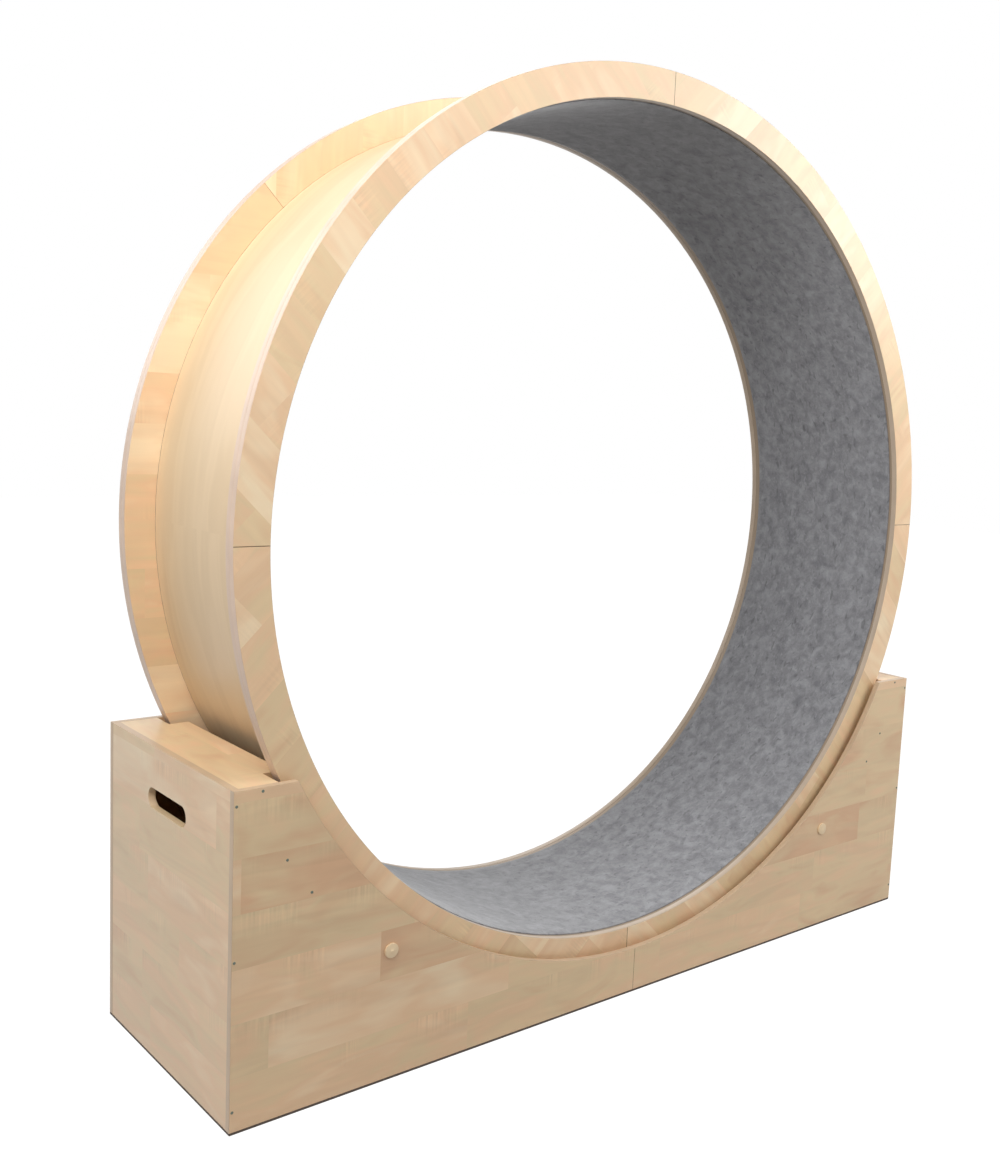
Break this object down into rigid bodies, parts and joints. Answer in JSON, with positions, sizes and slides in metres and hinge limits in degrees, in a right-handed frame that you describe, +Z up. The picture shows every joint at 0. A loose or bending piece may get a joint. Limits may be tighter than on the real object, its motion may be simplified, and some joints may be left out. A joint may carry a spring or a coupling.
{
  "type": "cat_exercise_wheel",
  "caption": "Wooden cat exercise wheel: a felt-lined running drum between flat rims turns on hidden rollers in a low box base with hand slots.",
  "frame": {"origin": "middle of the base's footprint, on the floor", "axes": "+X along the base, +Y to the rear, +Z up; the drum turns about a line along Y"},
  "size_m": [1.206, 0.3542, 1.246],
  "materials": {
    "rim_wood": "lacquered beech-look laminated board",
    "panel_wood": "lacquered beech-look laminated board",
    "bent_plywood": "bent thin plywood, smooth lacquer",
    "frame_wood": "planed battens, no lacquer",
    "felt": "mottled grey needle felt",
    "strip_rubber": "matt extruded strip",
    "roller_tread": "moulded polyurethane, satin",
    "shaft_steel": "drawn and ground",
    "bush_nylon": "turned nylon",
    "cap_plastic": "moulded, wood-coloured"
  },
  "bodies": {
    "base": {"front_panel_left": "panel_wood", "front_panel_right": "panel_wood", "rear_panel_left": "panel_wood", "rear_panel_right": "panel_wood", "left_end_panel": "panel_wood", "right_end_panel": "panel_wood", "left_top_board": "panel_wood", "right_top_board": "panel_wood", "left_cross_rail": "frame_wood", "right_cross_rail": "frame_wood", "front_splice_cleat": "frame_wood", "rear_splice_cleat": "frame_wood", "floor_strips": "strip_rubber", "shaft_bushes": "bush_nylon", "cover_caps": "cap_plastic"},
    "wheel": {"front_rim_face_lower_right": "rim_wood", "front_rim_face_lower_left": "rim_wood", "front_rim_face_upper_left": "rim_wood", "front_rim_face_upper_right": "rim_wood", "rear_rim_face_lower_right": "rim_wood", "rear_rim_face_lower_left": "rim_wood", "rear_rim_face_upper_left": "rim_wood", "rear_rim_face_upper_right": "rim_wood", "front_rim_backing_bottom": "rim_wood", "front_rim_backing_left": "rim_wood", "front_rim_backing_top": "rim_wood", "front_rim_backing_right": "rim_wood", "rear_rim_backing_bottom": "rim_wood", "rear_rim_backing_left": "rim_wood", "rear_rim_backing_top": "rim_wood", "rear_rim_backing_right": "rim_wood", "drum_panel_left": "bent_plywood", "drum_panel_right": "bent_plywood", "felt_lining": "felt"},
    "left_roller_set": {"left_roller_shaft": "shaft_steel", "left_rollers": "roller_tread"},
    "right_roller_set": {"right_roller_shaft": "shaft_steel", "right_rollers": "roller_tread"}
  },
  "joints": [
    {"name": "wheel_spin", "type": "hinge", "parent": "base", "child": "wheel", "pos_m": [0, 0, 0.646], "axis": [0, 1, 0], "continuous": true},
    {"name": "left_rollers_spin", "type": "hinge", "parent": "base", "child": "left_roller_set", "pos_m": [-0.40208, 0, 0.16255], "axis": [0, 1, 0], "continuous": true},
    {"name": "right_rollers_spin", "type": "hinge", "parent": "base", "child": "right_roller_set", "pos_m": [0.40208, 0, 0.16255], "axis": [0, 1, 0], "continuous": true}
  ],
  "couplings": [
    {"joint": "left_rollers_spin", "follows": "wheel_spin", "ratio": -21.053},
    {"joint": "right_rollers_spin", "follows": "wheel_spin", "ratio": -21.053}
  ]
}
